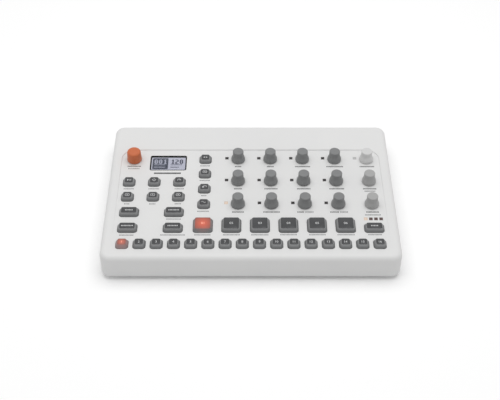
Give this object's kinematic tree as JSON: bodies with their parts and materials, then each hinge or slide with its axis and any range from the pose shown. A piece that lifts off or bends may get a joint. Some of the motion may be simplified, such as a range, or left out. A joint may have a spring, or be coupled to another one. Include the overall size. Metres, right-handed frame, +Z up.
{
  "type": "drum machine",
  "caption": "Slab-shaped tabletop drum machine with turning knobs, square pads, a row of step keys and a small display.",
  "frame": {"origin": "centre of the bounding box in plan, at the level of the table under the feet", "axes": "+X to the player's right, +Y to the rear with the sockets, +Z up out of the panel"},
  "size_m": [0.27, 0.18, 0.0401],
  "materials": {
    "case_abs": "moulded ABS with a fine matt texture",
    "key_grey": "smoke-grey polycarbonate key, satin slopes and a darker glossy top",
    "key_lit": "the same key lit red from below",
    "knob_grey": "soft-touch moulded knob",
    "knob_light": "soft-touch moulded knob",
    "knob_pale": "soft-touch moulded knob",
    "encoder_orange": "soft-touch moulded knob",
    "window_smoke": "polished smoke acrylic",
    "circuit_board": "glass-epoxy board with black parts",
    "plunger_nylon": "natural nylon",
    "slider_black": "moulded nylon",
    "foot_rubber": "moulded rubber",
    "panel_print": "pad-printed ink",
    "key_print": "laser-cut legend",
    "screw_steel": "zinc-plated steel",
    "socket_nickel": "nickel-plated brass"
  },
  "bodies": {
    "case": {"top_case": "case_abs", "base_plate": "case_abs", "main_board": "circuit_board", "panel_windows": "window_smoke", "rubber_feet": "foot_rubber"},
    "encoder_plunger": {"encoder_plunger": "plunger_nylon"},
    "encoder_knob": {"encoder_knob": "encoder_orange"},
    "power_switch": {"power_switch": "slider_black"},
    "knob_r1_c1": {"knob_r1_c1": "knob_grey"},
    "pad_1": {"pad_1": "key_lit"},
    "step_key_1": {"step_key_1": "key_lit"},
    "column_key_1": {"column_key_1": "key_grey"},
    "small_key_r1_c1": {"small_key_r1_c1": "key_grey"},
    "wide_key_r1_c1": {"wide_key_r1_c1": "key_grey"},
    "page_key": {"page_key": "key_grey"},
    "knob_r1_c5": {"knob_r1_c5": "knob_pale"},
    "knob_r2_c5": {"knob_r2_c5": "knob_light"},
    "pad_6": {"pad_6": "key_grey"},
    "step_key_16": {"step_key_16": "key_grey"},
    "knob_r3_c1": {"knob_r3_c1": "knob_grey"},
    "knob_r3_c4": {"knob_r3_c4": "knob_grey"},
    "column_key_2": {"column_key_2": "key_grey"},
    "column_key_3": {"column_key_3": "key_grey"},
    "column_key_4": {"column_key_4": "key_grey"},
    "small_key_r1_c2": {"small_key_r1_c2": "key_grey"},
    "small_key_r1_c3": {"small_key_r1_c3": "key_grey"},
    "small_key_r2_c1": {"small_key_r2_c1": "key_grey"},
    "small_key_r2_c2": {"small_key_r2_c2": "key_grey"},
    "small_key_r2_c3": {"small_key_r2_c3": "key_grey"},
    "wide_key_r1_c2": {"wide_key_r1_c2": "key_grey"},
    "wide_key_r2_c1": {"wide_key_r2_c1": "key_grey"},
    "wide_key_r2_c2": {"wide_key_r2_c2": "key_grey"},
    "pad_2": {"pad_2": "key_grey"},
    "pad_3": {"pad_3": "key_grey"},
    "pad_4": {"pad_4": "key_grey"},
    "pad_5": {"pad_5": "key_grey"},
    "knob_r1_c2": {"knob_r1_c2": "knob_grey"},
    "knob_r1_c3": {"knob_r1_c3": "knob_grey"},
    "knob_r1_c4": {"knob_r1_c4": "knob_grey"},
    "knob_r2_c1": {"knob_r2_c1": "knob_grey"},
    "knob_r2_c2": {"knob_r2_c2": "knob_grey"},
    "knob_r2_c3": {"knob_r2_c3": "knob_grey"},
    "knob_r2_c4": {"knob_r2_c4": "knob_grey"},
    "knob_r3_c2": {"knob_r3_c2": "knob_grey"},
    "knob_r3_c3": {"knob_r3_c3": "knob_grey"},
    "knob_r3_c5": {"knob_r3_c5": "knob_light"},
    "step_key_2": {"step_key_2": "key_grey"},
    "step_key_3": {"step_key_3": "key_grey"},
    "step_key_4": {"step_key_4": "key_grey"},
    "step_key_5": {"step_key_5": "key_grey"},
    "step_key_6": {"step_key_6": "key_grey"},
    "step_key_7": {"step_key_7": "key_grey"},
    "step_key_8": {"step_key_8": "key_grey"},
    "step_key_9": {"step_key_9": "key_grey"},
    "step_key_10": {"step_key_10": "key_grey"},
    "step_key_11": {"step_key_11": "key_grey"},
    "step_key_12": {"step_key_12": "key_grey"},
    "step_key_13": {"step_key_13": "key_grey"},
    "step_key_14": {"step_key_14": "key_grey"},
    "step_key_15": {"step_key_15": "key_grey"}
  },
  "joints": [
    {"name": "encoder_push", "type": "slide", "parent": "case", "child": "encoder_plunger", "axis": [0, 0, 1], "range_m": [-0.0006, 0], "stiffness_N_per_m": 1500, "springref_m": 0.001},
    {"name": "encoder_turn", "type": "hinge", "parent": "encoder_plunger", "child": "encoder_knob", "pos_m": [-0.1127, 0.0396, 0.02], "axis": [0, 0, 1], "continuous": true},
    {"name": "power_slide", "type": "slide", "parent": "case", "child": "power_switch", "axis": [1, 0, 0], "range_m": [0, 0.004]},
    {"name": "knob_r1_c1_turn", "type": "hinge", "parent": "case", "child": "knob_r1_c1", "pos_m": [-0.0119, 0.0396, 0.02], "axis": [0, 0, 1], "range_deg": [-150, 150]},
    {"name": "pad_1_press", "type": "slide", "parent": "case", "child": "pad_1", "axis": [0, 0, 1], "range_m": [-0.0009, 0], "stiffness_N_per_m": 1200, "springref_m": 0.001},
    {"name": "step_key_1_press", "type": "slide", "parent": "case", "child": "step_key_1", "axis": [0, 0, 1], "range_m": [-0.0012, 0], "stiffness_N_per_m": 800, "springref_m": 0.001},
    {"name": "column_key_1_press", "type": "slide", "parent": "case", "child": "column_key_1", "axis": [0, 0, 1], "range_m": [-0.0012, 0], "stiffness_N_per_m": 800, "springref_m": 0.001},
    {"name": "small_key_r1_c1_press", "type": "slide", "parent": "case", "child": "small_key_r1_c1", "axis": [0, 0, 1], "range_m": [-0.0012, 0], "stiffness_N_per_m": 800, "springref_m": 0.001},
    {"name": "wide_key_r1_c1_press", "type": "slide", "parent": "case", "child": "wide_key_r1_c1", "axis": [0, 0, 1], "range_m": [-0.0012, 0], "stiffness_N_per_m": 800, "springref_m": 0.001},
    {"name": "page_key_press", "type": "slide", "parent": "case", "child": "page_key", "axis": [0, 0, 1], "range_m": [-0.0012, 0], "stiffness_N_per_m": 800, "springref_m": 0.001},
    {"name": "knob_r1_c5_turn", "type": "hinge", "parent": "case", "child": "knob_r1_c5", "pos_m": [0.1125, 0.0396, 0.02], "axis": [0, 0, 1], "range_deg": [-150, 150]},
    {"name": "knob_r2_c5_turn", "type": "hinge", "parent": "case", "child": "knob_r2_c5", "pos_m": [0.1125, 0.0085, 0.02], "axis": [0, 0, 1], "range_deg": [-150, 150]},
    {"name": "pad_6_press", "type": "slide", "parent": "case", "child": "pad_6", "axis": [0, 0, 1], "range_m": [-0.0009, 0], "stiffness_N_per_m": 1200, "springref_m": 0.001},
    {"name": "step_key_16_press", "type": "slide", "parent": "case", "child": "step_key_16", "axis": [0, 0, 1], "range_m": [-0.0012, 0], "stiffness_N_per_m": 800, "springref_m": 0.001},
    {"name": "knob_r3_c1_turn", "type": "hinge", "parent": "case", "child": "knob_r3_c1", "pos_m": [-0.0119, -0.0226, 0.02], "axis": [0, 0, 1], "range_deg": [-150, 150]},
    {"name": "knob_r3_c4_turn", "type": "hinge", "parent": "case", "child": "knob_r3_c4", "pos_m": [0.0814, -0.0226, 0.02], "axis": [0, 0, 1], "range_deg": [-150, 150]},
    {"name": "column_key_2_press", "type": "slide", "parent": "case", "child": "column_key_2", "axis": [0, 0, 1], "range_m": [-0.0012, 0], "stiffness_N_per_m": 800, "springref_m": 0.001},
    {"name": "column_key_3_press", "type": "slide", "parent": "case", "child": "column_key_3", "axis": [0, 0, 1], "range_m": [-0.0012, 0], "stiffness_N_per_m": 800, "springref_m": 0.001},
    {"name": "column_key_4_press", "type": "slide", "parent": "case", "child": "column_key_4", "axis": [0, 0, 1], "range_m": [-0.0012, 0], "stiffness_N_per_m": 800, "springref_m": 0.001},
    {"name": "small_key_r1_c2_press", "type": "slide", "parent": "case", "child": "small_key_r1_c2", "axis": [0, 0, 1], "range_m": [-0.0012, 0], "stiffness_N_per_m": 800, "springref_m": 0.001},
    {"name": "small_key_r1_c3_press", "type": "slide", "parent": "case", "child": "small_key_r1_c3", "axis": [0, 0, 1], "range_m": [-0.0012, 0], "stiffness_N_per_m": 800, "springref_m": 0.001},
    {"name": "small_key_r2_c1_press", "type": "slide", "parent": "case", "child": "small_key_r2_c1", "axis": [0, 0, 1], "range_m": [-0.0012, 0], "stiffness_N_per_m": 800, "springref_m": 0.001},
    {"name": "small_key_r2_c2_press", "type": "slide", "parent": "case", "child": "small_key_r2_c2", "axis": [0, 0, 1], "range_m": [-0.0012, 0], "stiffness_N_per_m": 800, "springref_m": 0.001},
    {"name": "small_key_r2_c3_press", "type": "slide", "parent": "case", "child": "small_key_r2_c3", "axis": [0, 0, 1], "range_m": [-0.0012, 0], "stiffness_N_per_m": 800, "springref_m": 0.001},
    {"name": "wide_key_r1_c2_press", "type": "slide", "parent": "case", "child": "wide_key_r1_c2", "axis": [0, 0, 1], "range_m": [-0.0012, 0], "stiffness_N_per_m": 800, "springref_m": 0.001},
    {"name": "wide_key_r2_c1_press", "type": "slide", "parent": "case", "child": "wide_key_r2_c1", "axis": [0, 0, 1], "range_m": [-0.0012, 0], "stiffness_N_per_m": 800, "springref_m": 0.001},
    {"name": "wide_key_r2_c2_press", "type": "slide", "parent": "case", "child": "wide_key_r2_c2", "axis": [0, 0, 1], "range_m": [-0.0012, 0], "stiffness_N_per_m": 800, "springref_m": 0.001},
    {"name": "pad_2_press", "type": "slide", "parent": "case", "child": "pad_2", "axis": [0, 0, 1], "range_m": [-0.0009, 0], "stiffness_N_per_m": 1200, "springref_m": 0.001},
    {"name": "pad_3_press", "type": "slide", "parent": "case", "child": "pad_3", "axis": [0, 0, 1], "range_m": [-0.0009, 0], "stiffness_N_per_m": 1200, "springref_m": 0.001},
    {"name": "pad_4_press", "type": "slide", "parent": "case", "child": "pad_4", "axis": [0, 0, 1], "range_m": [-0.0009, 0], "stiffness_N_per_m": 1200, "springref_m": 0.001},
    {"name": "pad_5_press", "type": "slide", "parent": "case", "child": "pad_5", "axis": [0, 0, 1], "range_m": [-0.0009, 0], "stiffness_N_per_m": 1200, "springref_m": 0.001},
    {"name": "knob_r1_c2_turn", "type": "hinge", "parent": "case", "child": "knob_r1_c2", "pos_m": [0.0192, 0.0396, 0.02], "axis": [0, 0, 1], "range_deg": [-150, 150]},
    {"name": "knob_r1_c3_turn", "type": "hinge", "parent": "case", "child": "knob_r1_c3", "pos_m": [0.0503, 0.0396, 0.02], "axis": [0, 0, 1], "range_deg": [-150, 150]},
    {"name": "knob_r1_c4_turn", "type": "hinge", "parent": "case", "child": "knob_r1_c4", "pos_m": [0.0814, 0.0396, 0.02], "axis": [0, 0, 1], "range_deg": [-150, 150]},
    {"name": "knob_r2_c1_turn", "type": "hinge", "parent": "case", "child": "knob_r2_c1", "pos_m": [-0.0119, 0.0085, 0.02], "axis": [0, 0, 1], "range_deg": [-150, 150]},
    {"name": "knob_r2_c2_turn", "type": "hinge", "parent": "case", "child": "knob_r2_c2", "pos_m": [0.0192, 0.0085, 0.02], "axis": [0, 0, 1], "range_deg": [-150, 150]},
    {"name": "knob_r2_c3_turn", "type": "hinge", "parent": "case", "child": "knob_r2_c3", "pos_m": [0.0503, 0.0085, 0.02], "axis": [0, 0, 1], "range_deg": [-150, 150]},
    {"name": "knob_r2_c4_turn", "type": "hinge", "parent": "case", "child": "knob_r2_c4", "pos_m": [0.0814, 0.0085, 0.02], "axis": [0, 0, 1], "range_deg": [-150, 150]},
    {"name": "knob_r3_c2_turn", "type": "hinge", "parent": "case", "child": "knob_r3_c2", "pos_m": [0.0192, -0.0226, 0.02], "axis": [0, 0, 1], "range_deg": [-150, 150]},
    {"name": "knob_r3_c3_turn", "type": "hinge", "parent": "case", "child": "knob_r3_c3", "pos_m": [0.0503, -0.0226, 0.02], "axis": [0, 0, 1], "range_deg": [-150, 150]},
    {"name": "knob_r3_c5_turn", "type": "hinge", "parent": "case", "child": "knob_r3_c5", "pos_m": [0.1125, -0.0226, 0.02], "axis": [0, 0, 1], "range_deg": [-150, 150]},
    {"name": "step_key_2_press", "type": "slide", "parent": "case", "child": "step_key_2", "axis": [0, 0, 1], "range_m": [-0.0012, 0], "stiffness_N_per_m": 800, "springref_m": 0.001},
    {"name": "step_key_3_press", "type": "slide", "parent": "case", "child": "step_key_3", "axis": [0, 0, 1], "range_m": [-0.0012, 0], "stiffness_N_per_m": 800, "springref_m": 0.001},
    {"name": "step_key_4_press", "type": "slide", "parent": "case", "child": "step_key_4", "axis": [0, 0, 1], "range_m": [-0.0012, 0], "stiffness_N_per_m": 800, "springref_m": 0.001},
    {"name": "step_key_5_press", "type": "slide", "parent": "case", "child": "step_key_5", "axis": [0, 0, 1], "range_m": [-0.0012, 0], "stiffness_N_per_m": 800, "springref_m": 0.001},
    {"name": "step_key_6_press", "type": "slide", "parent": "case", "child": "step_key_6", "axis": [0, 0, 1], "range_m": [-0.0012, 0], "stiffness_N_per_m": 800, "springref_m": 0.001},
    {"name": "step_key_7_press", "type": "slide", "parent": "case", "child": "step_key_7", "axis": [0, 0, 1], "range_m": [-0.0012, 0], "stiffness_N_per_m": 800, "springref_m": 0.001},
    {"name": "step_key_8_press", "type": "slide", "parent": "case", "child": "step_key_8", "axis": [0, 0, 1], "range_m": [-0.0012, 0], "stiffness_N_per_m": 800, "springref_m": 0.001},
    {"name": "step_key_9_press", "type": "slide", "parent": "case", "child": "step_key_9", "axis": [0, 0, 1], "range_m": [-0.0012, 0], "stiffness_N_per_m": 800, "springref_m": 0.001},
    {"name": "step_key_10_press", "type": "slide", "parent": "case", "child": "step_key_10", "axis": [0, 0, 1], "range_m": [-0.0012, 0], "stiffness_N_per_m": 800, "springref_m": 0.001},
    {"name": "step_key_11_press", "type": "slide", "parent": "case", "child": "step_key_11", "axis": [0, 0, 1], "range_m": [-0.0012, 0], "stiffness_N_per_m": 800, "springref_m": 0.001},
    {"name": "step_key_12_press", "type": "slide", "parent": "case", "child": "step_key_12", "axis": [0, 0, 1], "range_m": [-0.0012, 0], "stiffness_N_per_m": 800, "springref_m": 0.001},
    {"name": "step_key_13_press", "type": "slide", "parent": "case", "child": "step_key_13", "axis": [0, 0, 1], "range_m": [-0.0012, 0], "stiffness_N_per_m": 800, "springref_m": 0.001},
    {"name": "step_key_14_press", "type": "slide", "parent": "case", "child": "step_key_14", "axis": [0, 0, 1], "range_m": [-0.0012, 0], "stiffness_N_per_m": 800, "springref_m": 0.001},
    {"name": "step_key_15_press", "type": "slide", "parent": "case", "child": "step_key_15", "axis": [0, 0, 1], "range_m": [-0.0012, 0], "stiffness_N_per_m": 800, "springref_m": 0.001}
  ]
}
